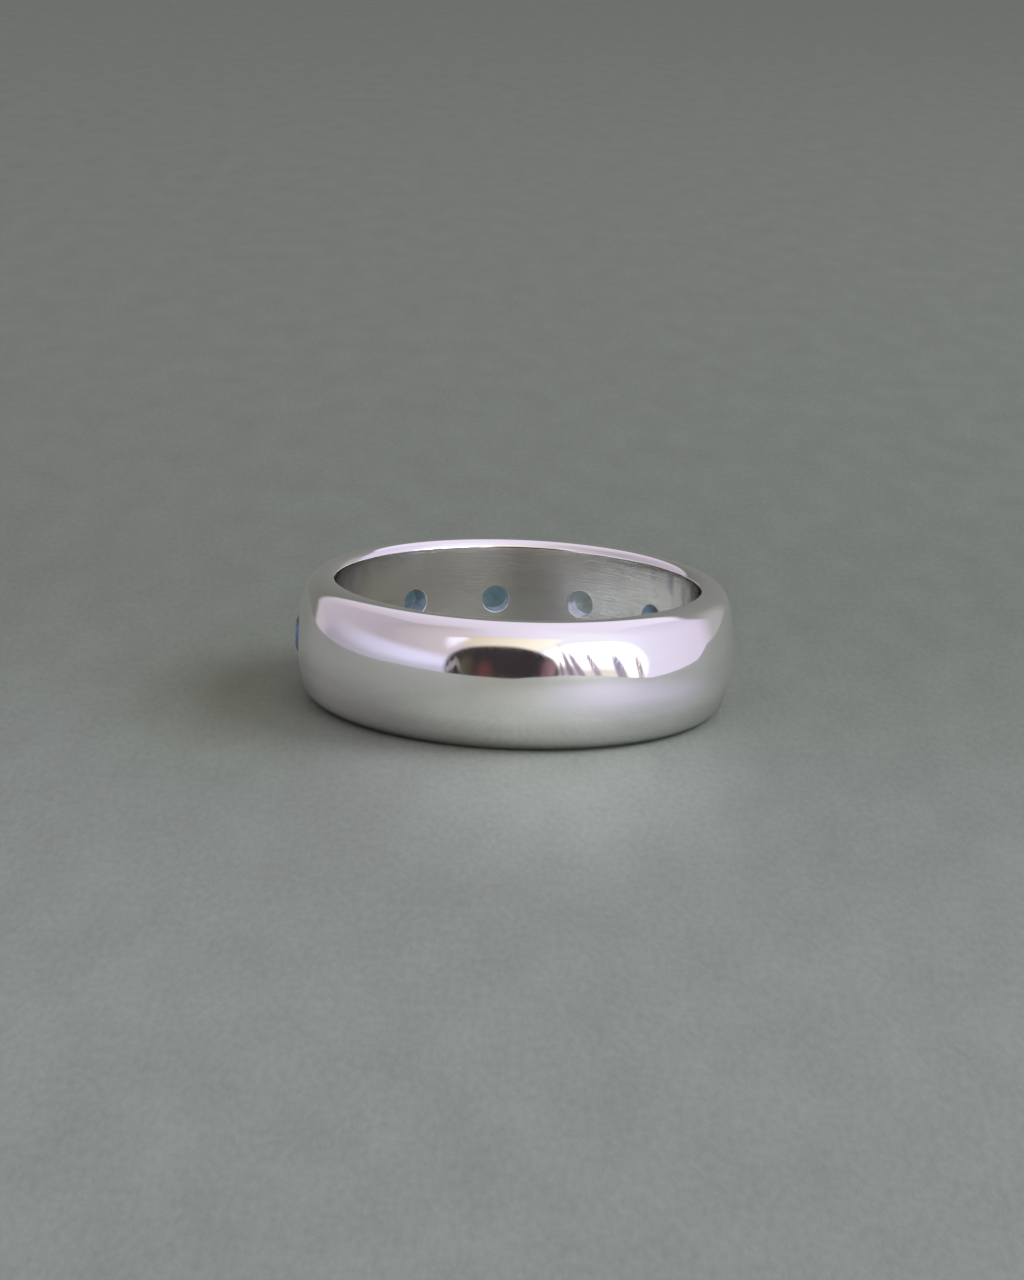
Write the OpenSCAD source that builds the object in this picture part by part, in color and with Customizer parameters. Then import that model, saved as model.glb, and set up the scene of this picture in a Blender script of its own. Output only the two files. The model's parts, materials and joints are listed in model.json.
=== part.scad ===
// Wide half-round band with a row of round brilliant topazes sunk flush into its dome.
// It lies on its side as it rests by itself: +Z runs along the finger, z = 0 is the
// surface under the band, and the middle stone of the row faces +Y.

/* [Band] */
// Inside diameter of the finger hole
finger_d = 17.35; // [15:0.05:21]
// Width of the band along the finger
band_w = 6; // [5:0.1:8]
// Thickness of the band at the crest of its dome
band_t = 1.75; // [1.6:0.05:2.2]
// Radius of the shoulders between the dome and the inner edges
shoulder_r = 1.075; // [0.8:0.005:1.1]
// Radius of the eased inner edges
edge_r = 0.4; // [0.2:0.01:0.42]

/* [Row of stones] */
// Number of topazes in the row
stone_count = 7; // [1:2:9]
// Angle round the band from one topaz to the next
stone_pitch = 28.5; // [25:0.5:40]
// Height of each table above the crest of the dome
table_rise = 0.08; // [0:0.01:0.08]

/* [Cut of each stone] */
// Diameter of a topaz at its girdle
stone_d = 2.25; // [1.6:0.05:2.4]
// Table width as a share of the diameter
table_share = 0.56; // [0.5:0.01:0.62]
// Slope of the main facets of the crown
crown_angle = 34.5; // [31:0.5:37]
// Slope of the main facets of the pavilion
pavilion_angle = 41; // [38:0.5:42]
// Height of the girdle's edge
girdle_h = 0.05; // [0.03:0.01:0.08]
// Reach of the star facets from the table's edge towards the girdle
star_share = 0.5; // [0.4:0.05:0.6]
// Reach of the lower girdle facets from the girdle towards the point
lower_girdle_share = 0.77; // [0.7:0.01:0.85]

/* [Seats] */
// Diameter of the light hole drilled behind each topaz
light_hole_d = 1.3; // [0.8:0.05:1.4]
// Width of the eased edge round the mouth of each light hole, in the finger hole
mouth_ease = 0.04; // [0.02:0.01:0.08]
// Gap between a topaz and the metal all round it
seat_gap = 0.03; // [0.02:0.01:0.05]
// Reach of the burnished lip over the edge of the crown
lip_reach = 0.1; // [0.06:0.01:0.12]
// Width of the bright-cut slope from the lip up to the dome
bright_cut_w = 0.17; // [0.1:0.01:0.2]

/* [Hidden] */

$fn = 96;

// How far a cutter runs past the face that it opens
past = 0.5;

// Section of the band: three radii in x, heights above its middle plane in y
finger_r = finger_d / 2;
crest_r = finger_r + band_t;
half_w = band_w / 2;
side_x = finger_r + edge_r;
edge_y = half_w - edge_r;
shoulder_y = half_w - shoulder_r;

// The dome's arc touches both shoulders, and its middle lies on the middle plane
crest_rise = band_t - edge_r;
dome_r = (pow(crest_rise, 2) + pow(shoulder_y, 2) - pow(shoulder_r, 2)) / (2 * (crest_rise - shoulder_r));
dome_x = crest_r - dome_r;
meet_angle = atan2(shoulder_y, side_x - dome_x);
meet_x = dome_x + dome_r * cos(meet_angle);
meet_y = dome_r * sin(meet_angle);

// Heights in a stone, above the upper edge of its girdle
facet_folds = 8;
fold = 360 / facet_folds;
stone_r = stone_d / 2;
table_r = stone_r * table_share;
crown_h = (stone_r - table_r) * tan(crown_angle);
pavilion_h = stone_r * tan(pavilion_angle);
point_z = -girdle_h - pavilion_h;
girdle_at = crest_r + table_rise - crown_h;

// Star tips and lower girdle tips, placed so that the main facets stay flat
star_r = table_r * cos(fold / 2) + star_share * (stone_r - table_r * cos(fold / 2));
star_z = crown_h - (star_r * cos(fold / 2) - table_r) * tan(crown_angle);
lower_r = stone_r * (1 - lower_girdle_share);
lower_z = point_z + lower_r * cos(fold / 2) * tan(pavilion_angle);

// Seat of a stone, in the stone's own heights
recess_r = stone_r + seat_gap;
light_hole_r = light_hole_d / 2;
mouth_foot_z = finger_r + mouth_ease - girdle_at;
seat_foot_z = -girdle_h - seat_gap - (recess_r - light_hole_r) * tan(pavilion_angle);
lip_r = recess_r - lip_reach;
lip_z = (recess_r - lip_r) * tan(crown_angle) + seat_gap;
lip_h = 0.03;
bright_cut_top = crown_h - table_rise;
bright_cut_slope = (bright_cut_top - lip_z - lip_h) / bright_cut_w;

function stone_name(i) = str("topaz_", i);
function stone_angle(i) = ((stone_count + 1) / 2 - i) * stone_pitch;
function on_circle(r, a) = [r * cos(a), r * sin(a)];
function ring_at(r, z, folds, turn) =
    [for (k = [0 : folds - 1]) let (a = turn + k * 360 / folds) [r * cos(a), r * sin(a), z]];

// The part of a disc between two of its radii
module slice(centre, r, from, to) {
    reach = 2 * r;
    intersection() {
        translate(centre) circle(r = r);
        polygon([
            centre,
            centre + on_circle(reach, from),
            centre + on_circle(reach, (from + to) / 2),
            centre + on_circle(reach, to)
        ]);
    }
}

module upper_arcs() {
    slice([side_x, shoulder_y], shoulder_r, meet_angle, 90);
    slice([side_x, edge_y], edge_r, 90, 180);
}

// The dome beyond the chord between the points where it meets the shoulders
module dome_segment() {
    intersection() {
        translate([dome_x, 0]) circle(r = dome_r);
        translate([meet_x, -half_w]) square([dome_r, band_w]);
    }
}

module band_section() {
    polygon([
        [finger_r, -edge_y],
        [side_x, -half_w],
        [meet_x, -meet_y],
        [meet_x, meet_y],
        [side_x, half_w],
        [finger_r, edge_y]
    ]);
    dome_segment();
    upper_arcs();
    mirror([0, 1]) upper_arcs();
}

// Puts a stone or its seat in place number i of the row, with its table outwards
module in_row(i) {
    translate([0, 0, half_w])
        rotate([0, 0, stone_angle(i)])
            rotate([-90, 0, 0])
                translate([0, 0, girdle_at])
                    children();
}

// Everything that the setter cuts away for one stone, from the finger hole outwards
module seat_cutter() {
    through_z = finger_r - past - girdle_at;
    top_z = bright_cut_top + past;
    rotate_extrude()
        polygon([
            [0, through_z],
            [light_hole_r + mouth_ease + past, through_z],
            [light_hole_r, mouth_foot_z],
            [light_hole_r, seat_foot_z],
            [recess_r, -girdle_h - seat_gap],
            [recess_r, seat_gap],
            [lip_r, lip_z],
            [lip_r, lip_z + lip_h],
            [lip_r + (top_z - lip_z - lip_h) / bright_cut_slope, top_z],
            [0, top_z]
        ]);
}

module band() {
    color("silver")
        difference() {
            translate([0, 0, half_w]) rotate_extrude() band_section();
            for (i = [1 : stone_count]) in_row(i) seat_cutter();
        }
}

// A round brilliant: table, stars, kites, upper and lower girdle facets, pavilion mains
module brilliant() {
    girdle_sides = 2 * facet_folds;
    table = ring_at(table_r, crown_h, facet_folds, 0);
    stars = ring_at(star_r, star_z, facet_folds, fold / 2);
    upper = ring_at(stone_r, 0, girdle_sides, 0);
    lower = ring_at(stone_r, -girdle_h, girdle_sides, 0);
    tips = ring_at(lower_r, lower_z, facet_folds, fold / 2);
    points = concat(table, stars, upper, lower, tips, [[0, 0, point_z]]);
    star_0 = facet_folds;
    upper_0 = star_0 + facet_folds;
    lower_0 = upper_0 + girdle_sides;
    tip_0 = lower_0 + girdle_sides;
    point = tip_0 + facet_folds;
    faces = concat(
        [[for (k = [facet_folds - 1 : -1 : 0]) k]],
        [
            for (k = [0 : facet_folds - 1])
                let (
                    next = (k + 1) % facet_folds,
                    before = (k + facet_folds - 1) % facet_folds,
                    g = 2 * k,
                    g_next = (2 * k + 2) % girdle_sides
                )
                each [
                    [k, next, star_0 + k],
                    [k, star_0 + k, upper_0 + g, star_0 + before],
                    [star_0 + k, upper_0 + g + 1, upper_0 + g],
                    [star_0 + k, upper_0 + g_next, upper_0 + g + 1],
                    [upper_0 + g, upper_0 + g + 1, lower_0 + g + 1, lower_0 + g],
                    [upper_0 + g + 1, upper_0 + g_next, lower_0 + g_next, lower_0 + g + 1],
                    [lower_0 + g, lower_0 + g + 1, tip_0 + k],
                    [lower_0 + g + 1, lower_0 + g_next, tip_0 + k],
                    [lower_0 + g, tip_0 + k, point, tip_0 + before]
                ]
        ]
    );
    polyhedron(points, faces);
}

module topaz(i) {
    color("skyblue") in_row(i) brilliant();
}

band();
for (i = [1 : stone_count])
    topaz(i);
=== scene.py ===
import json
import math

import bmesh
import bpy
import numpy as np
from mathutils import Matrix, Vector


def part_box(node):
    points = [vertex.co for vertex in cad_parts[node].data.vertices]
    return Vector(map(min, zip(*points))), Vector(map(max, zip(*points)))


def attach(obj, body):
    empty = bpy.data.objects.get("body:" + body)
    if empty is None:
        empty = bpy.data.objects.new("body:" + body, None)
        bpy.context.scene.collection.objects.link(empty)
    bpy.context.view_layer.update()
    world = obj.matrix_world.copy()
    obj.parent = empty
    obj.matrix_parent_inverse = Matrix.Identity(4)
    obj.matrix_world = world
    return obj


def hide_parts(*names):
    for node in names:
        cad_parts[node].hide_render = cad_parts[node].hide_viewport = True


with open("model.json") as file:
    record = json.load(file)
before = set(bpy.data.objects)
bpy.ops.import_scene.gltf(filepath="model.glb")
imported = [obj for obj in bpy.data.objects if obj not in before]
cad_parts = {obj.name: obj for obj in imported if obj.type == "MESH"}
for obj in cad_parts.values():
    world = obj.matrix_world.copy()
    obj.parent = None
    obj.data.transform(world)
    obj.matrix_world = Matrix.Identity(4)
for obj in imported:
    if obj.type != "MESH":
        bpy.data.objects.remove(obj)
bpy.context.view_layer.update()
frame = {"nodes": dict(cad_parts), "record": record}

MM = 0.001

# Sizes of the band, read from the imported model
BORE = next(m for m in frame["record"]["mounts"] if m["name"] == "finger_bore")
FINGER_R = BORE["dims"]["r_mm"] * MM
EDGE_Y = BORE["dims"]["length_mm"] * MM / 2
HALF_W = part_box("band")[1].z / 2
CREST_R = max(v.co.xy.length for v in frame["nodes"]["band"].data.vertices)
STONES = sorted(name for name in frame["nodes"] if name.startswith("topaz_"))

# Section of the band, in the ring's own radii and heights above its middle plane
EDGE_R = HALF_W - EDGE_Y
SHOULDER_R = 1.075 * MM
SIDE_X = FINGER_R + EDGE_R
SHOULDER_Y = HALF_W - SHOULDER_R
CREST_RISE = CREST_R - SIDE_X
DOME_R = (CREST_RISE**2 + SHOULDER_Y**2 - SHOULDER_R**2) / (2 * (CREST_RISE - SHOULDER_R))
DOME_X = CREST_R - DOME_R
MEET = math.atan2(SHOULDER_Y, SIDE_X - DOME_X)

# Row of stones and their seats, as in the solid model
PITCH = math.radians(28.5)
STONE_R = 1.125 * MM
TABLE_R = 0.56 * STONE_R
CROWN_SLOPE = math.tan(math.radians(34.5))
PAVILION_SLOPE = math.tan(math.radians(41))
TABLE_RISE = 0.08 * MM
GIRDLE_H = 0.05 * MM
SEAT_GAP = 0.03 * MM
LIGHT_HOLE_R = 0.65 * MM
LIP_REACH = 0.1 * MM
LIP_H = 0.03 * MM
BRIGHT_CUT_W = 0.17 * MM
CROWN_H = (STONE_R - TABLE_R) * CROWN_SLOPE
GIRDLE_AT = CREST_R + TABLE_RISE - CROWN_H
RECESS_R = STONE_R + SEAT_GAP
LIP_R = RECESS_R - LIP_REACH
LIP_Z = LIP_REACH * CROWN_SLOPE + SEAT_GAP
SEAT_FOOT_Z = -GIRDLE_H - SEAT_GAP - (RECESS_R - LIGHT_HOLE_R) * PAVILION_SLOPE
BRIGHT_CUT_SLOPE = (CROWN_H - TABLE_RISE - LIP_Z - LIP_H) / BRIGHT_CUT_W

# Softened edges that only the finished metal has
RIM_BLEND = 0.045 * MM
MOUTH_EASE = 0.05 * MM

# How finely the band is meshed
DOME_STEPS = 28
SHOULDER_STEPS = 16
CORNER_STEPS = 8
MOUTH_STEPS = 6
SEAT_COLUMNS = 28
PLAIN_COLUMNS = 4
FACE_ROWS = 9
FACE_EASING = 1.4
SLOPE_ROWS = 16
LIP_STEPS = 6
CONE_STEPS = 3
HOLE_STEPS = 5
WELD = 0.001 * MM
SHARP_FROM = math.radians(35)

# Zones of the band's faces, in the order of its materials
POLISHED, BRIGHT_CUT, DRILLED, FINGER_HOLE = range(4)

# Camera: how the photograph looks at the ring
IMAGE_W, IMAGE_H = 1024, 1280
VIEW_AZIMUTH = math.radians(-7.1)
VIEW_ELEVATION = math.radians(13.23)
VIEW_ROLL = math.radians(2.24)
VIEW_DISTANCE = 16.67 * CREST_R
FOCAL_PX = 3632
RING_PX = (515.62, 638.92)
SENSOR_MM = 36


def camera():
    middle = Vector((0, 0, HALF_W))
    flat = Vector((math.sin(VIEW_AZIMUTH), -math.cos(VIEW_AZIMUTH), 0))
    back = flat * math.cos(VIEW_ELEVATION) + Vector((0, 0, math.sin(VIEW_ELEVATION)))
    level_right = Vector((math.cos(VIEW_AZIMUTH), math.sin(VIEW_AZIMUTH), 0))
    level_up = back.cross(level_right)
    right = level_right * math.cos(VIEW_ROLL) + level_up * math.sin(VIEW_ROLL)
    up = back.cross(right)
    per_px = VIEW_DISTANCE / FOCAL_PX
    off_right = (RING_PX[0] - IMAGE_W / 2) * per_px
    off_up = (IMAGE_H / 2 - RING_PX[1]) * per_px
    place = middle + back * VIEW_DISTANCE - right * off_right - up * off_up
    data = bpy.data.cameras.new("camera")
    data.sensor_width = SENSOR_MM
    data.lens = FOCAL_PX / IMAGE_H * SENSOR_MM
    data.clip_start = 0.01
    obj = bpy.data.objects.new("camera", data)
    obj.matrix_world = Matrix((
        (right.x, up.x, back.x, place.x),
        (right.y, up.y, back.y, place.y),
        (right.z, up.z, back.z, place.z),
        (0, 0, 0, 1),
    ))
    bpy.context.scene.collection.objects.link(obj)
    bpy.context.scene.camera = obj


class Nodes:
    """Adds nodes to a tree and wires them, so that a material reads as a list of steps."""

    def __init__(self, tree):
        self.tree = tree

    def add(self, kind, inputs=(), **settings):
        node = self.tree.nodes.new(kind)
        for name, value in settings.items():
            setattr(node, name, value)
        for socket, value in dict(inputs).items():
            self.put(node.inputs[socket], value)
        return node

    def put(self, socket, value):
        if isinstance(value, bpy.types.NodeSocket):
            self.tree.links.new(value, socket)
        else:
            socket.default_value = value

    def math(self, operation, *values):
        return self.add("ShaderNodeMath", enumerate(values), operation=operation).outputs[0]

    def vector(self, operation, *values):
        node = self.add("ShaderNodeVectorMath", operation=operation)
        for socket, value in zip(node.inputs, values):
            self.put(socket, value)
        return node.outputs["Value" if operation in ("LENGTH", "DOT_PRODUCT") else "Vector"]

    def scaled(self, vector, factor):
        node = self.add("ShaderNodeVectorMath", {"Scale": factor}, operation="SCALE")
        self.put(node.inputs[0], vector)
        return node.outputs["Vector"]

    def mix(self, factor, low, high):
        node = self.add("ShaderNodeMix", data_type="RGBA")
        self.put(node.inputs[0], factor)
        self.put(node.inputs[6], low)
        self.put(node.inputs[7], high)
        return node.outputs[2]

    def span(self, value, from_low, from_high, to_low=0.0, to_high=1.0, kind="LINEAR"):
        node = self.add("ShaderNodeMapRange", interpolation_type=kind)
        for socket, number in zip(node.inputs, (value, from_low, from_high, to_low, to_high)):
            self.put(socket, number)
        return node.outputs[0]

    def noise(self, vector, scale, detail=2.0, roughness=0.5, w=None):
        dimensions = "3D" if w is None else "4D"
        node = self.add("ShaderNodeTexNoise", {"Vector": vector}, noise_dimensions=dimensions)
        self.put(node.inputs["Scale"], scale)
        self.put(node.inputs["Detail"], detail)
        self.put(node.inputs["Roughness"], roughness)
        if w is not None:
            self.put(node.inputs["W"], w)
        return node.outputs["Fac"]

    def group(self, tree, **inputs):
        node = self.add("ShaderNodeGroup", node_tree=tree)
        for name, value in inputs.items():
            self.put(node.inputs[name.replace("_", " ")], value)
        return node.outputs


def rgb(red, green, blue):
    return (red, green, blue, 1.0)


def shader_group(name, inputs, outputs):
    """A shader node group with named sockets, its nodes helper and its two end nodes."""
    tree = bpy.data.node_groups.new(name, "ShaderNodeTree")
    for socket, (kind, value) in inputs.items():
        made = tree.interface.new_socket(socket, in_out="INPUT", socket_type="NodeSocket" + kind)
        if value is not None:
            made.default_value = value
    for socket, kind in outputs.items():
        tree.interface.new_socket(socket, in_out="OUTPUT", socket_type="NodeSocket" + kind)
    nodes = Nodes(tree)
    return tree, nodes, nodes.add("NodeGroupInput").outputs, nodes.add("NodeGroupOutput").inputs


def soft_panel_group():
    """A rounded panel in the sky: how much of it a direction meets, and how far across it that is."""
    tree, n, given, out = shader_group(
        "soft panel",
        {
            "Azimuth": ("Float", 0.0), "Elevation": ("Float", 0.0),
            "Middle Azimuth": ("Float", 0.0), "Middle Elevation": ("Float", 0.0),
            "Half Width": ("Float", 10.0), "Half Height": ("Float", 10.0),
            "Lean": ("Float", 0.0), "Squareness": ("Float", 4.0), "Softness": ("Float", 0.1),
        },
        {"Mask": "Float", "Across": "Float"},
    )
    up = n.math("SUBTRACT", given["Elevation"], given["Middle Elevation"])
    middle = n.math("MULTIPLY_ADD", up, given["Lean"], given["Middle Azimuth"])
    across = n.math("DIVIDE", n.math("SUBTRACT", given["Azimuth"], middle), given["Half Width"])
    up = n.math("DIVIDE", up, given["Half Height"])
    powers = [n.math("POWER", n.math("ABSOLUTE", side), given["Squareness"]) for side in (across, up)]
    reach = n.math("POWER", n.math("ADD", *powers), n.math("DIVIDE", 1.0, given["Squareness"]))
    inner = n.math("SUBTRACT", 1.0, given["Softness"])
    outer = n.math("ADD", 1.0, given["Softness"])
    n.put(out["Mask"], n.span(reach, inner, outer, 1.0, 0.0, "SMOOTHSTEP"))
    n.put(out["Across"], n.math("MULTIPLY_ADD", across, 0.5, 0.5))
    return tree


# Studio round the ring, by azimuth from the camera's side (to its right is +) and elevation, in
# degrees: middle, half size, lean, squareness, softness, and the colour at its left and right end
WIDE_PANELS = {
    "right wall": ((76, 21), (50, 34), 0, 3, 0.12, (0.96, 0.93, 1.16), (0.68, 0.60, 0.76)),
    "left wall": ((-79, 20), (47, 33), 0, 3, 0.05, (0.50, 0.44, 0.52), (0.43, 0.375, 0.42)),
    "left curtain": ((-50, 30), (26, 38), 0, 3, 0.35, (0.44, 0.38, 0.43), (0.68, 0.60, 0.66)),
    "white glow": ((40, 20), (24, 42), 0, 2, 0.7, (0.94, 0.91, 1.02), (0.96, 0.93, 1.06)),
    "low strip": ((-72, -6), (46, 11), 0, 2.2, 0.12, (0.36, 0.33, 0.40), (0.58, 0.56, 0.71)),
    "strip edge": ((-70, 2.2), (42, 4), 0, 2, 0.6, (0.46, 0.42, 0.52), (0.90, 0.88, 1.18)),
}
FRONT_PANELS = {
    "white panel": ((38, -3), (32, 20), 0, 2, 0.14, (2.4, 2.4, 2.5), (3.2, 3.2, 3.5)),
    "cream panel": ((-4, 25), (28, 12), 0.3, 4, 0.12, (0.62, 0.53, 0.42), (1.20, 1.08, 0.96)),
    "small lamp": ((-31.2, 19), (5, 7), 0.5, 1.4, 0.5, (1.0, 0.97, 1.15), (1.0, 0.97, 1.15)),
    "slat shade": ((46, -12), (24, 15), -0.4, 2.5, 0.35, (0.68, 0.58, 0.63), (1.00, 0.90, 0.84)),
    "slat 1": ((28, -5), (6, 9), -0.2, 3, 0.35, (0.55, 0.47, 0.52), (0.52, 0.45, 0.52)),
    "slat 2": ((28, 2), (1.5, 13), -0.3, 2.5, 0.5, (0.27, 0.22, 0.27), (0.27, 0.22, 0.27)),
    "slat 3": ((32.5, 2), (1.7, 12), -0.45, 2.5, 0.5, (0.34, 0.29, 0.36), (0.34, 0.29, 0.36)),
    "slat 4": ((41.5, 1), (1.8, 12), -0.45, 2.5, 0.5, (0.42, 0.35, 0.43), (0.42, 0.35, 0.43)),
    "slat 5": ((56, -2), (2.8, 11), -0.4, 2.5, 0.45, (0.35, 0.31, 0.43), (0.35, 0.31, 0.43)),
    "slat 6": ((67.5, -3), (2, 9), -0.3, 2.5, 0.5, (0.48, 0.40, 0.44), (0.48, 0.40, 0.44)),
    "slat 7": ((24.5, 0), (0.8, 9), -0.2, 2.5, 0.5, (0.30, 0.24, 0.26), (0.30, 0.24, 0.26)),
    "dark card": ((-6.5, -1), (29.5, 17), 0, 2.2, 0.06, (0.040, 0.033, 0.035), (0.036, 0.032, 0.036)),
    "pale card": ((-32.5, 0), (1.7, 4), 0.5, 2.5, 0.4, (0.36, 0.33, 0.36), (0.30, 0.27, 0.29)),
    "second pale card": ((-28.8, 1), (1.1, 5), -0.4, 2.5, 0.4, (0.30, 0.27, 0.28), (0.22, 0.20, 0.20)),
    "olive card": ((-24, 0), (4, 8), 0, 2, 0.5, (0.10, 0.09, 0.07), (0.05, 0.04, 0.03)),
    "brown card": ((-15, -2), (3.8, 7), 0, 2, 0.6, (0.12, 0.052, 0.05), (0.10, 0.045, 0.045)),
    "rosy card": ((17, 1), (4, 8), 0.1, 2.2, 0.5, (0.10, 0.06, 0.07), (0.36, 0.22, 0.25)),
}
BACK_PANELS = {
    "backdrop": ((175.8, 10.5), (49, 31), -0.35, 3.5, 0.06, (0.27, 0.27, 0.275), (0.17, 0.175, 0.15)),
    "back corner": ((134, 2), (14, 22), 0, 2, 0.6, (0.44, 0.42, 0.45), (0.38, 0.38, 0.37)),
}
# The parts of the sky outside of which no front or back panel shows: middle and half size
FRONT_ZONE = ((21, 4), (67, 38))
BACK_ZONE = ((172, 6), (72, 42))
SKY_LEFT = rgb(0.52, 0.46, 0.52)
SKY_RIGHT = rgb(0.87, 0.80, 0.98)
BACKDROP_SEEN = rgb(0.205, 0.225, 0.20)


def studio():
    """Soft panels round the ring, which it mirrors; the camera sees a plain backdrop instead."""
    world = bpy.data.worlds.new("studio")
    world.use_nodes = True
    world.node_tree.nodes.clear()
    bpy.context.scene.world = world
    n = Nodes(world.node_tree)
    direction = n.add("ShaderNodeTexCoord").outputs["Generated"]
    turn = {"Vector": direction, "Angle": -VIEW_AZIMUTH}
    turned = n.add("ShaderNodeVectorRotate", turn, rotation_type="Z_AXIS").outputs[0]
    parts = n.add("ShaderNodeSeparateXYZ", {0: turned}).outputs
    azimuth = n.math("ARCTAN2", parts["X"], n.math("MULTIPLY", parts["Y"], -1.0))
    azimuth = n.math("DEGREES", azimuth)
    elevation = n.math("DEGREES", n.math("ARCSINE", parts["Z"]))
    panel = soft_panel_group()

    def with_panels(colour, panels, around):
        """A colour of the sky with panels laid over it, each on top of the one before."""
        for middle, half, lean, squareness, softness, left, right in panels.values():
            out = n.group(
                panel, Azimuth=around, Elevation=elevation, Middle_Azimuth=middle[0],
                Middle_Elevation=middle[1], Half_Width=half[0], Half_Height=half[1], Lean=lean,
                Squareness=squareness, Softness=softness,
            )
            colour = n.mix(out["Mask"], colour, n.mix(out["Across"], rgb(*left), rgb(*right)))
        return colour

    # Past 180 degrees the back panels need the azimuth to run on
    around_behind = n.math("WRAP", azimuth, 360.0, 0.0)
    sky = n.mix(n.span(parts["X"], -0.75, 0.15), SKY_LEFT, SKY_RIGHT)
    sky = with_panels(sky, WIDE_PANELS, azimuth)
    lit = n.add("ShaderNodeBackground", {"Color": sky}).outputs[0]
    zones = ((BACK_PANELS, BACK_ZONE, around_behind), (FRONT_PANELS, FRONT_ZONE, azimuth))
    for panels, (middle, half), around in zones:
        beside = n.math("COMPARE", around, middle[0], half[0])
        inside = n.math("MULTIPLY", beside, n.math("COMPARE", elevation, middle[1], half[1]))
        there = n.add("ShaderNodeBackground", {"Color": with_panels(sky, panels, around)}).outputs[0]
        lit = n.add("ShaderNodeMixShader", {0: inside, 1: lit, 2: there}).outputs[0]
    seen = n.add("ShaderNodeBackground", {"Color": BACKDROP_SEEN}).outputs[0]
    to_camera = n.add("ShaderNodeLightPath").outputs["Is Camera Ray"]
    surface = n.add("ShaderNodeMixShader", {0: to_camera, 1: lit, 2: seen}).outputs[0]
    n.add("ShaderNodeOutputWorld", {"Surface": surface})
    bpy.context.scene.view_settings.view_transform = "Standard"


SIDE_LAMP_AZIMUTH = math.radians(95)
SIDE_LAMP_ELEVATION = math.radians(40)
SIDE_LAMP_DISTANCE = 0.5
SIDE_LAMP_SIZE = 0.3
SIDE_LAMP_WATTS = 1.3
SIDE_LAMP_COLOUR = (0.90, 0.95, 1.0)


def side_lamp():
    """A soft lamp to the right that throws the ring's shadow; the metal doesn't mirror it."""
    turn = SIDE_LAMP_AZIMUTH + VIEW_AZIMUTH
    level = math.cos(SIDE_LAMP_ELEVATION)
    way = Vector((math.sin(turn) * level, -math.cos(turn) * level, math.sin(SIDE_LAMP_ELEVATION)))
    data = bpy.data.lights.new("side_lamp", "AREA")
    data.shape = "DISK"
    data.size = SIDE_LAMP_SIZE
    data.energy = SIDE_LAMP_WATTS
    data.color = SIDE_LAMP_COLOUR
    obj = bpy.data.objects.new("side_lamp", data)
    obj.location = way * SIDE_LAMP_DISTANCE
    obj.rotation_euler = way.to_track_quat("Z", "Y").to_euler()
    obj.visible_glossy = False
    obj.visible_transmission = False
    bpy.context.scene.collection.objects.link(obj)


def section_radius(height):
    """Radius of the dome at a height above the band's middle plane."""
    return DOME_X + np.sqrt(DOME_R**2 - height**2)


def arc(middle, radius, start, end, steps):
    """Radii and heights along an arc of the section, ends included."""
    angles = np.linspace(start, end, steps + 1)
    return np.stack([middle[0] + radius * np.cos(angles), middle[1] + radius * np.sin(angles)], 1)


def shoulder_and_corner():
    """Half of the section above the dome: the shoulder, then the eased inner edge."""
    shoulder = arc((SIDE_X, SHOULDER_Y), SHOULDER_R, MEET, math.pi / 2, SHOULDER_STEPS)
    corner = arc((SIDE_X, EDGE_Y), EDGE_R, math.pi / 2, math.pi, CORNER_STEPS)
    return np.concatenate([shoulder, corner[1:]])


def turned(section, angles):
    """Section points swept round the axis: a row for each point, a column for each angle from +Y."""
    radius, height = section[:, 0][:, None], section[:, 1][:, None]
    wide = np.ones_like(angles)
    return np.stack([-radius * np.sin(angles), radius * np.cos(angles), (height + HALF_W) * wide], 2)


class Shell:
    """Grids of points that become one mesh, with a zone for each face."""

    def __init__(self):
        self.points, self.faces, self.zones = [], [], []

    def add_grid(self, rows, zones, closed=False):
        start = len(self.points)
        count, columns = rows.shape[:2]
        self.points.extend(map(tuple, rows.reshape(-1, 3)))
        for row in range(count - 1):
            for column in range(columns if closed else columns - 1):
                beside = (column + 1) % columns
                here, below = start + row * columns, start + (row + 1) * columns
                self.faces.append((here + column, here + beside, below + beside, below + column))
                self.zones.append(zones[row])

    def to_object(self, name):
        mesh = bpy.data.meshes.new(name)
        mesh.from_pydata(self.points, [], self.faces)
        mesh.attributes.new("zone", "INT", "FACE").data.foreach_set("value", self.zones)
        obj = bpy.data.objects.new(name, mesh)
        bpy.context.scene.collection.objects.link(obj)
        return obj


def plain_sector(width):
    """A short stretch of the band with no stone in it."""
    dome = arc((DOME_X, 0), DOME_R, -MEET, MEET, DOME_STEPS)
    upper = shoulder_and_corner()
    inner_heights = np.linspace(EDGE_Y, -EDGE_Y, DOME_STEPS + 1)
    inner = np.stack([np.full(DOME_STEPS + 1, FINGER_R), inner_heights], 1)
    lower = upper[::-1] * (1, -1)
    section = np.concatenate([dome, upper[1:], inner[1:], lower[1:]])
    steps = SHOULDER_STEPS + CORNER_STEPS
    zones = [POLISHED] * (DOME_STEPS + steps) + [FINGER_HOLE] * DOME_STEPS + [POLISHED] * steps
    shell = Shell()
    shell.add_grid(turned(section, np.linspace(-width / 2, width / 2, PLAIN_COLUMNS + 1)), zones)
    return shell.to_object("plain_sector")


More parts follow.
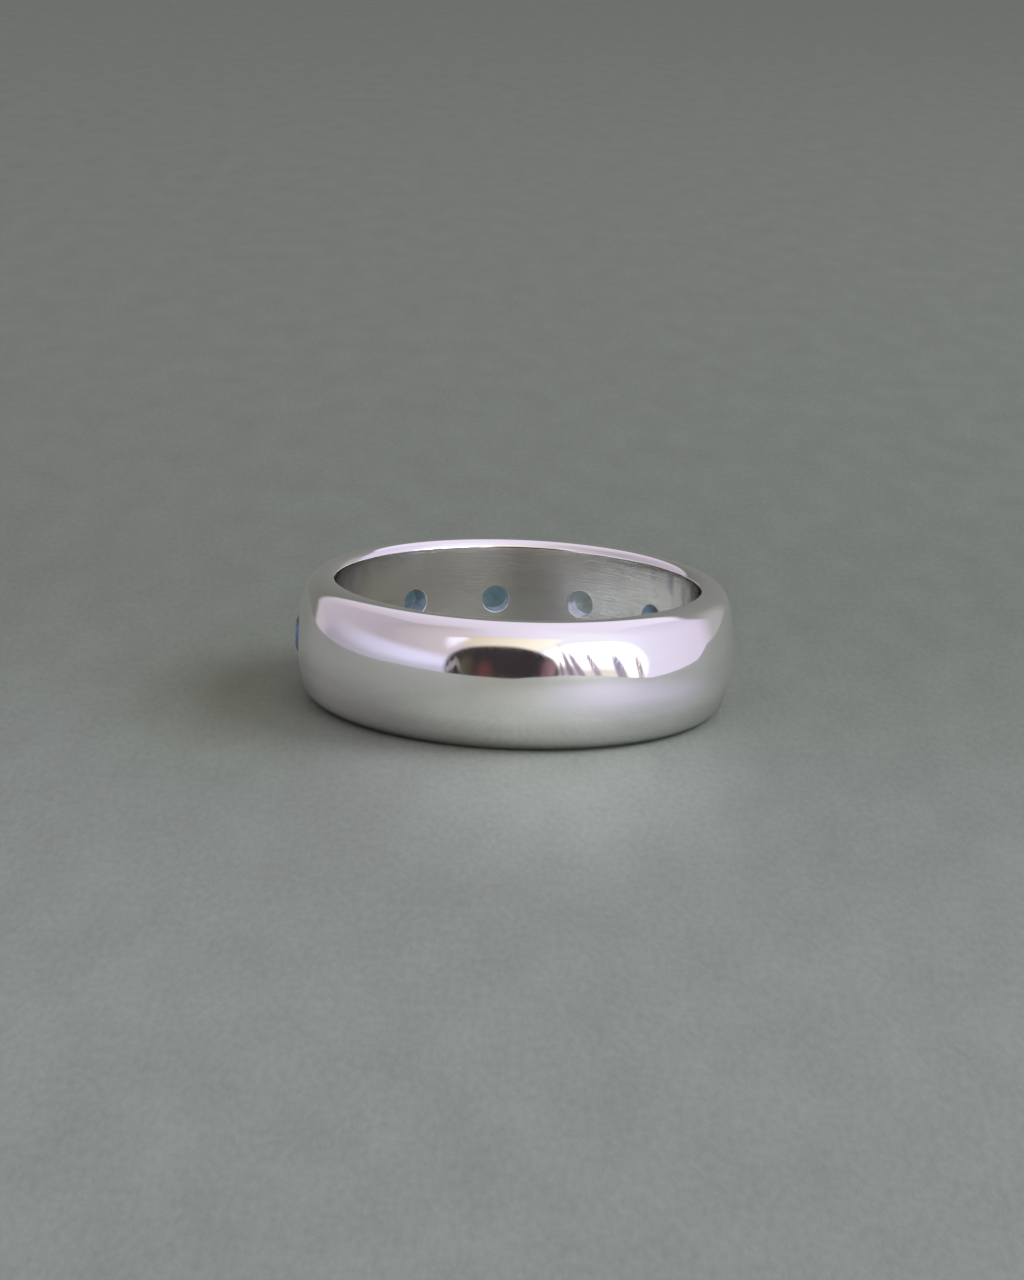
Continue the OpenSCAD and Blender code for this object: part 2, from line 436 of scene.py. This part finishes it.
def square_loop(radius_at, heights, half_angle):
    """Points round the edge of a sector's face, as (x, height) seen along the stone's axis."""
    steps = len(heights) - 1
    angles = np.linspace(-half_angle, half_angle, steps + 1)[:-1]
    top, bottom = heights[-1], heights[0]
    right = [(radius_at(h) * math.sin(half_angle), h) for h in heights[:-1]]
    upper = [(radius_at(top) * math.sin(-a), top) for a in angles]
    left = [(-radius_at(h) * math.sin(half_angle), h) for h in heights[::-1][:-1]]
    lower = [(radius_at(bottom) * math.sin(a), bottom) for a in angles]
    return np.array(right + upper + left + lower)


def at_depth(flat, depth):
    """Points across the stone's axis, moved out to a depth along it."""
    return np.column_stack([flat[:, 0], np.broadcast_to(depth, len(flat)), flat[:, 1] + HALF_W])


def seat_rows(edge, directions, radius, depth_at):
    """Loops from a square edge inwards to a circle, laid on the surface that depth_at gives."""
    circle = directions * radius
    rows = []
    for t in np.linspace(0, 1, FACE_ROWS + 1) ** FACE_EASING:
        flat = circle + (edge - circle) * t
        rows.append(at_depth(flat, depth_at(flat)))
    return rows


def dome_depth(flat):
    """Distance along the stone's axis to the dome, over points across that axis."""
    return np.sqrt(section_radius(flat[:, 1]) ** 2 - flat[:, 0] ** 2)


def hole_depth(flat):
    """Distance along the stone's axis to the wall of the finger hole."""
    return np.sqrt(FINGER_R**2 - flat[:, 0] ** 2)


def rim_depth(flat):
    """The dome down to the bright-cut slope, with the burnished rim between them rounded."""
    reach = np.hypot(flat[:, 0], flat[:, 1])
    slope = GIRDLE_AT + LIP_Z + LIP_H + (reach - LIP_R) * BRIGHT_CUT_SLOPE
    dome = dome_depth(flat)
    share = np.maximum(RIM_BLEND - np.abs(dome - slope), 0) / RIM_BLEND
    return np.minimum(dome, slope) - share**2 * RIM_BLEND / 4


def seat_section():
    """Radii and heights in a seat from the lip to the foot of the light hole, with each step's zone."""
    middle = (LIP_R + LIP_H / 2, LIP_Z + LIP_H / 2)
    lip = arc(middle, LIP_H / 2, math.pi / 2, 3 * math.pi / 2, LIP_STEPS)
    lip[:, 0] = np.minimum(lip[:, 0], LIP_R + LIP_H / 2)
    points = list(map(tuple, lip))
    points += [(RECESS_R, SEAT_GAP), (RECESS_R, -GIRDLE_H - SEAT_GAP)]
    points += [
        (r, -GIRDLE_H - SEAT_GAP - (RECESS_R - r) * PAVILION_SLOPE)
        for r in np.linspace(RECESS_R, LIGHT_HOLE_R, CONE_STEPS + 1)[1:]
    ]
    zones = [BRIGHT_CUT] * len(lip) + [DRILLED] * (len(points) - len(lip))
    return points, zones


def seat_sector():
    """The stretch of the band that holds one stone, its seat and light hole cut through it."""
    heights = DOME_R * np.sin(np.linspace(-MEET, MEET, DOME_STEPS + 1))
    outer_edge = square_loop(section_radius, heights, PITCH / 2)
    outward = outer_edge / np.hypot(outer_edge[:, 0], outer_edge[:, 1])[:, None]
    inner_heights = np.linspace(-EDGE_Y, EDGE_Y, DOME_STEPS + 1)
    inner_edge = square_loop(lambda height: FINGER_R, inner_heights, PITCH / 2)
    inward = inner_edge / np.hypot(inner_edge[:, 0], inner_edge[:, 1])[:, None]

    rim_r = LIP_R + BRIGHT_CUT_W + RIM_BLEND
    rows = seat_rows(outer_edge, outward, rim_r, dome_depth)[::-1]
    zones = [POLISHED] * FACE_ROWS
    for reach in np.linspace(rim_r, LIP_R + LIP_H / 2, SLOPE_ROWS + 1)[1:]:
        flat = outward * reach
        rows.append(at_depth(flat, rim_depth(flat)))
        zones.append(BRIGHT_CUT)
    section, section_zones = seat_section()
    for (reach, height), zone in zip(section[1:], section_zones[1:]):
        flat = outward * reach
        rows.append(at_depth(flat, GIRDLE_AT + height))
        zones.append(zone)

    # The light hole's wall turns from the seat's directions to those of the finger hole's face
    for share in np.linspace(0, 1, HOLE_STEPS + 1)[1:]:
        flat = outward * (1 - share) + inward * share
        flat = flat / np.hypot(flat[:, 0], flat[:, 1])[:, None] * LIGHT_HOLE_R
        depth = (GIRDLE_AT + SEAT_FOOT_Z) * (1 - share) + (hole_depth(flat) + MOUTH_EASE) * share
        rows.append(at_depth(flat, depth))
        zones.append(DRILLED)
    for angle in np.linspace(0, math.pi / 2, MOUTH_STEPS + 1)[1:]:
        flat = inward * (LIGHT_HOLE_R + MOUTH_EASE * (1 - math.cos(angle)))
        rows.append(at_depth(flat, hole_depth(flat) + MOUTH_EASE * (1 - math.sin(angle))))
        zones.append(DRILLED)
    rows += seat_rows(inner_edge, inward, LIGHT_HOLE_R + MOUTH_EASE, hole_depth)[1:]
    zones += [FINGER_HOLE] * FACE_ROWS

    shell = Shell()
    shell.add_grid(np.array(rows), zones, closed=True)
    strip = shoulder_and_corner()
    strip_zones = [POLISHED] * (len(strip) - 1)
    angles = np.linspace(-PITCH / 2, PITCH / 2, SEAT_COLUMNS + 1)
    shell.add_grid(turned(strip, angles), strip_zones)
    shell.add_grid(turned(strip * (1, -1), angles), strip_zones)
    return shell.to_object("seat_sector")


def ring_of_sectors():
    """Geometry nodes that set a row of seat sectors and fill the rest of the ring with plain ones."""
    tree = bpy.data.node_groups.new("ring of sectors", "GeometryNodeTree")
    tree.interface.new_socket("Geometry", in_out="OUTPUT", socket_type="NodeSocketGeometry")
    wanted = {
        "Seat Sector": "Object", "Seats": "Int", "Seat Pitch": "Float",
        "Plain Sector": "Object", "Plain Sectors": "Int", "Plain Pitch": "Float",
        "Weld Distance": "Float", "Polished": "Material", "Bright Cut": "Material",
        "Drilled": "Material", "Finger Hole": "Material",
    }
    for name, kind in wanted.items():
        tree.interface.new_socket(name, in_out="INPUT", socket_type="NodeSocket" + kind)
    n = Nodes(tree)
    given = n.add("NodeGroupInput").outputs
    index = n.add("GeometryNodeInputIndex").outputs[0]

    def row(sector, count, pitch, first):
        """Instances of one sector, the first of them turned by the angle first."""
        shape = n.add("GeometryNodeObjectInfo", {"Object": given[sector]}).outputs["Geometry"]
        points = n.add("GeometryNodeMeshLine", {"Count": given[count], "Offset": (0, 0, 0)}).outputs[0]
        angle = n.math("MULTIPLY_ADD", index, given[pitch], first)
        turn = n.add("ShaderNodeCombineXYZ", {"Z": angle}).outputs[0]
        placed = {"Points": points, "Instance": shape, "Rotation": turn}
        return n.add("GeometryNodeInstanceOnPoints", placed).outputs[0]

    last_seat = n.math("SUBTRACT", given["Seats"], 1.0)
    half_row = n.math("MULTIPLY", n.math("MULTIPLY", last_seat, given["Seat Pitch"]), 0.5)
    seats = row("Seat Sector", "Seats", "Seat Pitch", n.math("MULTIPLY", half_row, -1.0))
    half_seat = n.math("MULTIPLY", given["Seat Pitch"], 0.5)
    half_plain = n.math("MULTIPLY", given["Plain Pitch"], 0.5)
    start = n.math("ADD", n.math("ADD", half_row, half_seat), half_plain)
    plain = row("Plain Sector", "Plain Sectors", "Plain Pitch", start)
    joined = n.add("GeometryNodeJoinGeometry")
    tree.links.new(seats, joined.inputs[0])
    tree.links.new(plain, joined.inputs[0])
    shape = n.add("GeometryNodeRealizeInstances", {0: joined.outputs[0]}).outputs[0]
    welded = {"Geometry": shape, "Distance": given["Weld Distance"]}
    shape = n.add("GeometryNodeMergeByDistance", welded).outputs[0]
    zone = n.add("GeometryNodeInputNamedAttribute", {"Name": "zone"}, data_type="INT")
    zone = zone.outputs["Attribute"]
    for number, name in enumerate(("Polished", "Bright Cut", "Drilled", "Finger Hole")):
        chosen = n.math("COMPARE", zone, float(number), 0.5)
        painted = {"Geometry": shape, "Selection": chosen, "Material": given[name]}
        shape = n.add("GeometryNodeSetMaterial", painted).outputs[0]
    shape = n.add("GeometryNodeSetShadeSmooth", {0: shape}).outputs[0]
    n.add("NodeGroupOutput", {0: shape})
    return tree


def modifier_inputs(modifier, **values):
    """Sets a Geometry Nodes modifier's inputs by their sockets' identifiers."""
    for item in modifier.node_group.interface.items_tree:
        name = item.name.replace(" ", "_")
        if item.in_out == "INPUT" and name in values:
            modifier[item.identifier] = values[name]


def band(materials):
    rest = 2 * math.pi - len(STONES) * PITCH
    plain_count = round(rest / PITCH * SEAT_COLUMNS / PLAIN_COLUMNS)
    plain_pitch = rest / plain_count
    seat, plain = seat_sector(), plain_sector(plain_pitch)
    maker = bpy.data.objects.new("band_maker", bpy.data.meshes.new("band_maker"))
    bpy.context.scene.collection.objects.link(maker)
    modifier = maker.modifiers.new("ring of sectors", "NODES")
    modifier.node_group = ring_of_sectors()
    modifier_inputs(
        modifier, Seat_Sector=seat, Seats=len(STONES), Seat_Pitch=PITCH,
        Plain_Sector=plain, Plain_Sectors=plain_count, Plain_Pitch=plain_pitch,
        Weld_Distance=WELD, Polished=materials[POLISHED], Bright_Cut=materials[BRIGHT_CUT],
        Drilled=materials[DRILLED], Finger_Hole=materials[FINGER_HOLE],
    )
    graph = bpy.context.evaluated_depsgraph_get()
    mesh = bpy.data.meshes.new_from_object(maker.evaluated_get(graph))
    mesh.name = "silver_band"
    for template in (maker, seat, plain):
        bpy.data.objects.remove(template)
    outwards = bmesh.new()
    outwards.from_mesh(mesh)
    bmesh.ops.recalc_face_normals(outwards, faces=outwards.faces)
    outwards.to_mesh(mesh)
    outwards.free()
    mesh.set_sharp_from_angle(angle=SHARP_FROM)
    piece = bpy.data.objects.new("silver_band", mesh)
    bpy.context.scene.collection.objects.link(piece)
    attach(piece, "root")
    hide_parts("band")
    return piece


# Scale of the noise behind the broad buffing streaks, against that of the fine lines
STREAK_SCALE = 0.13
# Three directions of hairlines, how they are drawn out, and their width and patches in the noise
HAIRLINE_TURNS = ((0.3, 0.2, 0.7), (1.4, 0.5, -0.4), (-0.8, 1.1, 0.2))
HAIRLINE_STRETCH = (1, 1, 0.07)
HAIRLINE_WIDTH = 0.012
HAIRLINE_PATCHES_PER_MM = 1.3
HAIRLINE_PATCH_EDGE = 0.08


def polish_lines_group():
    """Fine lines left by the buffing wheel, which run round the ring."""
    tree, n, given, out = shader_group(
        "polish lines",
        {"Place mm": ("Vector", None), "Lines per mm": ("Float", 20.0), "Run": ("Float", 6.0)},
        {"Height": "Float", "Streaks": "Float"},
    )
    parts = n.add("ShaderNodeSeparateXYZ", {0: given["Place mm"]}).outputs
    flat = n.add("ShaderNodeCombineXYZ", {"X": parts["X"], "Y": parts["Y"]}).outputs[0]
    radius = n.vector("LENGTH", flat)
    around = n.scaled(n.vector("NORMALIZE", flat), given["Run"])
    depth = n.math("MULTIPLY", parts["Z"], given["Lines per mm"])
    place = n.vector("ADD", around, n.add("ShaderNodeCombineXYZ", {"Z": depth}).outputs[0])
    across = n.math("MULTIPLY", radius, given["Lines per mm"])
    n.put(out["Height"], n.noise(place, 1.0, 3.0, 0.55, across))
    wide_across = n.math("MULTIPLY", across, STREAK_SCALE)
    n.put(out["Streaks"], n.noise(n.scaled(place, STREAK_SCALE), 1.0, 2.0, 0.5, wide_across))
    return tree


def hairlines_group():
    """Sparse hairline scratches from wear, in three directions."""
    tree, n, given, out = shader_group(
        "hairlines",
        {"Place mm": ("Vector", None), "Fineness": ("Float", 9.0), "Share": ("Float", 0.5)},
        {"Mask": "Float"},
    )
    total = None
    for turn in HAIRLINE_TURNS:
        drawn_out = {"Vector": given["Place mm"], "Rotation": turn, "Scale": HAIRLINE_STRETCH}
        mapped = n.add("ShaderNodeMapping", drawn_out).outputs[0]
        lines = n.noise(mapped, given["Fineness"], 1.0, 0.4)
        off_line = n.math("ABSOLUTE", n.math("SUBTRACT", lines, 0.5))
        thin = n.span(off_line, 0.0, HAIRLINE_WIDTH, 1.0, 0.0)
        patches = n.noise(mapped, HAIRLINE_PATCHES_PER_MM, 1.0)
        kept = n.span(patches, given["Share"], n.math("ADD", given["Share"], HAIRLINE_PATCH_EDGE))
        line = n.math("MULTIPLY", thin, kept)
        total = line if total is None else n.math("MAXIMUM", total, line)
    n.put(out["Mask"], total)
    return tree


# Swells of the polished surface, darkest streak, range of roughness and what a hairline adds to it
SWELLS_PER_MM = 0.45
STREAK_TONE = 0.985
SMOOTHEST, ROUGHEST = 0.7, 1.3
HAIRLINE_ROUGHNESS = 0.08
# Tint, roughness, and the depths in mm of the buffing lines, waviness and scratches
SILVER_FINISHES = {
    "silver_polished": ((0.955, 0.945, 0.925), 0.05, 0.00004, 0.006, 0.00015),
    "silver_bright_cut": ((0.965, 0.955, 0.94), 0.06, 0.00006, 0.002, 0.0001),
    "silver_drilled": ((0.92, 0.905, 0.90), 0.32, 0.0006, 0.004, 0.0),
    "silver_finger_hole": ((0.975, 0.96, 0.925), 0.12, 0.006, 0.02, 0.0002),
}


def silver(name, groups, tint, roughness, lines, waviness, scratches):
    """Silver whose relief is made of buffing lines, waviness and scratches."""
    material = bpy.data.materials.new(name)
    material.use_nodes = True
    n = Nodes(material.node_tree)
    n.tree.nodes.clear()
    place = n.scaled(n.add("ShaderNodeTexCoord").outputs["Object"], 1 / MM)
    buffed = n.group(groups["polish lines"], Place_mm=place)
    worn = n.group(groups["hairlines"], Place_mm=place)
    swell = n.noise(place, SWELLS_PER_MM, 1.0)
    relief = n.math("MULTIPLY", buffed["Height"], lines)
    relief = n.math("MULTIPLY_ADD", swell, waviness, relief)
    relief = n.math("MULTIPLY_ADD", worn["Mask"], -scratches, relief)
    bump = n.add("ShaderNodeBump", {"Strength": 1.0, "Distance": MM, "Height": relief})
    shade = n.span(buffed["Streaks"], 0.3, 0.7)
    colour = n.mix(shade, rgb(*[STREAK_TONE * c for c in tint]), rgb(*tint))
    dull = n.span(buffed["Streaks"], 0.25, 0.75, roughness * SMOOTHEST, roughness * ROUGHEST)
    dull = n.math("MULTIPLY_ADD", worn["Mask"], HAIRLINE_ROUGHNESS, dull)
    surface = n.add("ShaderNodeBsdfPrincipled", {
        "Base Color": colour, "Metallic": 1.0, "Roughness": dull, "Normal": bump.outputs[0],
    })
    n.add("ShaderNodeOutputMaterial", {"Surface": surface.outputs[0]})
    return material


# Refraction of topaz, the colour that a depth of it keeps, and the run of its faint bands
TOPAZ_IOR = 1.62
TOPAZ_DEPTH = rgb(0.38, 0.62, 0.74)
BANDS_PER_MM = 0.8
# Traces of the wheel on the facets: their fineness and the roughness that they reach
FACET_MARKS_PER_MM = 30.0
FACET_ROUGHNESS = 0.03


def topaz(name, light, deep, density):
    """Blue topaz: clear, with the colour lying in faint bands through the stone."""
    material = bpy.data.materials.new(name)
    material.use_nodes = True
    n = Nodes(material.node_tree)
    n.tree.nodes.clear()
    place = n.scaled(n.add("ShaderNodeTexCoord").outputs["Object"], 1 / MM)
    bands = n.noise(place, BANDS_PER_MM, 2.0)
    colour = n.mix(n.span(bands, 0.35, 0.65), light, deep)
    marks = n.noise(place, FACET_MARKS_PER_MM, 2.0)
    dull = n.span(marks, 0.4, 0.7, 0.0, FACET_ROUGHNESS)
    surface = n.add("ShaderNodeBsdfPrincipled", {
        "Base Color": colour, "Roughness": dull, "IOR": TOPAZ_IOR, "Transmission Weight": 1.0,
    })
    depth = n.add("ShaderNodeVolumeAbsorption", {"Color": TOPAZ_DEPTH, "Density": density})
    n.add("ShaderNodeOutputMaterial", {"Surface": surface.outputs[0], "Volume": depth.outputs[0]})
    return material


# Painted fall-off of light: the paper's colour is darker behind the ring and lightens towards the
# camera
PAPER_SHADED_BEHIND = rgb(0.173, 0.197, 0.158)
PAPER_LIT_IN_FRONT = rgb(0.254, 0.285, 0.248)
LIGHT_FALLOFF_RUN = (-30.0, 50.0)
# The fibrous mottle of the paper, drawn out towards the camera: fineness, shares and contrast
FIBRE_STRETCH = 0.35
GRAIN_PER_MM, CLOUDS_PER_MM = 3.6, 0.4
GRAIN_SHARE, CLOUD_SHARE = 0.6, 0.4
MOTTLE = (0.3, 0.7, 0.87, 1.13)
# Painted light and shade in soft elliptical patches: a painted shadow left of the ring, a painted pool
# of light in front of it and a painted window glow in the mirrored paper; in mm to the right and
# towards the camera: middle and half size
SHADOW_PATCH = ((-13.0, 1.0), (8.0, 20.0))
LIGHT_PATCH = ((2.4, 12.0), (11.5, 24.0))
WINDOW_PATCH = ((13.0, 16.0), (16.0, 20.0))
WHITE = rgb(1.0, 1.0, 1.0)
SHADOW_TINT = rgb(0.88, 0.90, 0.74)
LIGHT_STRENGTH = 1.5
# The paper as the metal mirrors it, a copy with painted light and shade: painted light towards the
# camera and to the right, and painted shade near the ring's foot; runs in mm, and the brightness at
# their two ends
MIRRORED_TINT = (0.98, 1.01, 0.94)
PAINTED_LIGHT_TOWARDS_CAMERA = (-6.0, 18.0, 0.95, 1.15)
PAINTED_SHADE_NEAR_THE_RING = (10.4, 12.6, 0.6, 1.0)
PAINTED_LIGHT_TO_THE_RIGHT = (14.0, 24.0, 1.0, 1.2)
WINDOW_GLOW = rgb(0.59, 0.58, 0.66)
WINDOW_STRENGTH = 0.9
WINDOW_BEGINS = (11.5, 16.0)
# The paper inside the ring, as the finger hole mirrors it, with painted light at its left and right,
# painted shade at its left front, and a tint for each side
INSIDE_RING = (8.0, 9.0, 1.0, 0.0)
PAINTED_LIGHT_HOLE_LEFT = (-3.0, -6.5, 0.6, 3.4)
PAINTED_SHADE_HOLE_LEFT_FRONT = (1.5, 3.5, 1.0, 0.55)
PAINTED_LIGHT_HOLE_RIGHT = (0.0, 4.0, 0.6, 1.7)
HOLE_LIGHT_TINT_RUN = (-5.0, 0.0)
HOLE_LIGHT_TINT_LEFT = rgb(1.03, 1.01, 1.12)
HOLE_LIGHT_TINT_RIGHT = rgb(1.0, 1.03, 0.92)


def soft_patch(n, sideways, forward, patch, inside, outside):
    """A value that fades from the middle of an elliptical patch to its edge."""
    (middle_right, middle_front), (half_right, half_front) = patch
    beside = n.math("DIVIDE", n.math("SUBTRACT", sideways, middle_right), half_right)
    ahead = n.math("DIVIDE", n.math("SUBTRACT", forward, middle_front), half_front)
    off = n.vector("LENGTH", n.add("ShaderNodeCombineXYZ", {"X": beside, "Y": ahead}).outputs[0])
    return n.span(off, 0.0, 1.0, inside, outside, "SMOOTHSTEP")


def mirrored_paper(n, place, sideways, forward, colour, light):
    """The paper's colour in the metal, with painted light and shade: outside the ring, inside it, and a
    painted glow where the window shines on it.
    """
    from_axis = n.vector("LENGTH", n.vector("MULTIPLY", place, (1.0, 1.0, 0.0)))
    bright = n.math("MULTIPLY", n.span(forward, *PAINTED_LIGHT_TOWARDS_CAMERA), light)
    bright = n.math("MULTIPLY", bright, n.span(from_axis, *PAINTED_SHADE_NEAR_THE_RING))
    bright = n.math("MULTIPLY", bright, n.span(sideways, *PAINTED_LIGHT_TO_THE_RIGHT))
    outside = n.vector("MULTIPLY", n.scaled(colour, bright), MIRRORED_TINT)
    left = n.math("MULTIPLY", n.span(sideways, *PAINTED_LIGHT_HOLE_LEFT), n.span(forward, *PAINTED_SHADE_HOLE_LEFT_FRONT))
    bright = n.math("MAXIMUM", left, n.span(sideways, *PAINTED_LIGHT_HOLE_RIGHT))
    tint = n.mix(n.span(sideways, *HOLE_LIGHT_TINT_RUN), HOLE_LIGHT_TINT_LEFT, HOLE_LIGHT_TINT_RIGHT)
    inside = n.vector("MULTIPLY", n.scaled(colour, bright), tint)
    around = n.mix(n.span(from_axis, *INSIDE_RING), outside, inside)
    glow = soft_patch(n, sideways, forward, WINDOW_PATCH, WINDOW_STRENGTH, 0.0)
    glow = n.math("MULTIPLY", glow, n.span(from_axis, *WINDOW_BEGINS))
    return n.mix(glow, around, WINDOW_GLOW)


def paper():
    """Pale sage paper with a faint fibrous mottle, and painted light and shade: a painted fall-off of
    light behind the ring, a painted shadow left of it and a painted pool of light in front. It has more
    sheen where the metal mirrors it, partly from its shader and partly painted into its colour.
    """
    material = bpy.data.materials.new("sage_paper")
    material.use_nodes = True
    n = Nodes(material.node_tree)
    n.tree.nodes.clear()
    place = n.scaled(n.add("ShaderNodeTexCoord").outputs["Object"], 1 / MM)
    towards_camera = (math.sin(VIEW_AZIMUTH), -math.cos(VIEW_AZIMUTH), 0.0)
    to_the_right = (math.cos(VIEW_AZIMUTH), math.sin(VIEW_AZIMUTH), 0.0)
    forward = n.vector("DOT_PRODUCT", place, towards_camera)
    sideways = n.vector("DOT_PRODUCT", place, to_the_right)
    along_fibres = n.math("MULTIPLY", forward, FIBRE_STRETCH)
    laid = n.add("ShaderNodeCombineXYZ", {"X": sideways, "Y": along_fibres}).outputs[0]
    grain = n.noise(laid, GRAIN_PER_MM, 3.0, 0.6)
    cloud = n.noise(laid, CLOUDS_PER_MM, 3.0)
    grain_part = n.math("MULTIPLY", grain, GRAIN_SHARE)
    mixed = n.math("ADD", grain_part, n.math("MULTIPLY", cloud, CLOUD_SHARE))
    # Painted light and shade: the colour runs from a shaded tone behind the ring to a lit tone in front
    painted_falloff_tone = n.mix(n.span(forward, *LIGHT_FALLOFF_RUN, kind="SMOOTHSTEP"), PAPER_SHADED_BEHIND, PAPER_LIT_IN_FRONT)
    colour = n.scaled(painted_falloff_tone, n.span(mixed, *MOTTLE))
    bump = n.add("ShaderNodeBump", {"Strength": 0.4, "Distance": 0.04 * MM, "Height": grain})
    # Painted shadow left of the ring and a painted pool of light in front of it
    shadow = soft_patch(n, sideways, forward, SHADOW_PATCH, 1.0, 0.0)
    light = soft_patch(n, sideways, forward, LIGHT_PATCH, LIGHT_STRENGTH, 1.0)
    shadow_tint = n.mix(shadow, WHITE, SHADOW_TINT)
    matt = n.add("ShaderNodeBsdfPrincipled", {
        "Base Color": n.vector("MULTIPLY", n.scaled(colour, light), shadow_tint),
        "Roughness": 0.6, "Specular IOR Level": 0.35, "Normal": bump.outputs[0],
    }).outputs[0]
    # The mirrored copy of the paper: its shader adds sheen, and its colour carries painted light and
    # shade
    sheen = n.add("ShaderNodeBsdfPrincipled", {
        "Base Color": mirrored_paper(n, place, sideways, forward, colour, light),
        "Roughness": 0.5, "Specular IOR Level": 1.0, "Coat Weight": 0.6, "Coat Roughness": 0.6,
        "Normal": bump.outputs[0],
    }).outputs[0]
    mirrored = n.add("ShaderNodeLightPath").outputs["Is Glossy Ray"]
    surface = n.add("ShaderNodeMixShader", {0: mirrored, 1: matt, 2: sheen}).outputs[0]
    n.add("ShaderNodeOutputMaterial", {"Surface": surface})
    return material


# Outline of the near sheet that the ring mirrors: degrees from the camera's side, mm from the axis
SHEET_CORNERS = (
    (-150, 110), (-128, 68), (-117, 55), (-100, 48), (-82, 48), (-54, 55), (-26, 53), (0, 50),
    (10, 64), (25, 88), (40, 57), (52, 38), (63, 30), (97, 38), (112, 75), (150, 110), (200, 110),
)
FLOOR_R = 2.5


def flat_sheet(name, outline, hole, material):
    """A flat sheet of the floor with as many corners in its outline as in its hole, if it has one."""
    points = [(*corner, 0.0) for corner in outline + hole]
    count = len(outline)
    faces = [(k, (k + 1) % count, count + (k + 1) % count, count + k) for k in range(count)]
    mesh = bpy.data.meshes.new(name)
    mesh.from_pydata(points, [], faces if hole else [tuple(range(count))])
    mesh.materials.append(material)
    obj = bpy.data.objects.new(name, mesh)
    bpy.context.scene.collection.objects.link(obj)
    return obj


def floor():
    """The near sheet is what the ring mirrors; beyond it the ring mirrors the studio instead."""
    material = paper()
    turns = [math.radians(azimuth) + VIEW_AZIMUTH for azimuth, reach in SHEET_CORNERS]
    ways = [(math.sin(turn), -math.cos(turn)) for turn in turns]
    inner = [(x * reach * MM, y * reach * MM) for (x, y), (azimuth, reach) in zip(ways, SHEET_CORNERS)]
    outer = [(x * FLOOR_R, y * FLOOR_R) for x, y in ways]
    flat_sheet("near_floor", inner, [], material)
    flat_sheet("far_floor", outer, inner, material).visible_glossy = False


camera()
studio()
side_lamp()
floor()
relief_groups = {"polish lines": polish_lines_group(), "hairlines": hairlines_group()}
band([silver(name, relief_groups, *finish) for name, finish in SILVER_FINISHES.items()])
blue_topaz = topaz("blue_topaz", rgb(0.70, 0.82, 0.88), rgb(0.63, 0.78, 0.86), 850.0)
# Painted light: one stone of the row is made paler so that it shows brighter through its light hole
# than the others
pale_topaz = topaz("pale_topaz", rgb(0.87, 0.92, 0.93), rgb(0.84, 0.90, 0.92), 300.0)
for stone in STONES:
    materials = frame["nodes"][stone].data.materials
    materials.clear()
    materials.append(pale_topaz if stone == "topaz_5" else blue_topaz)
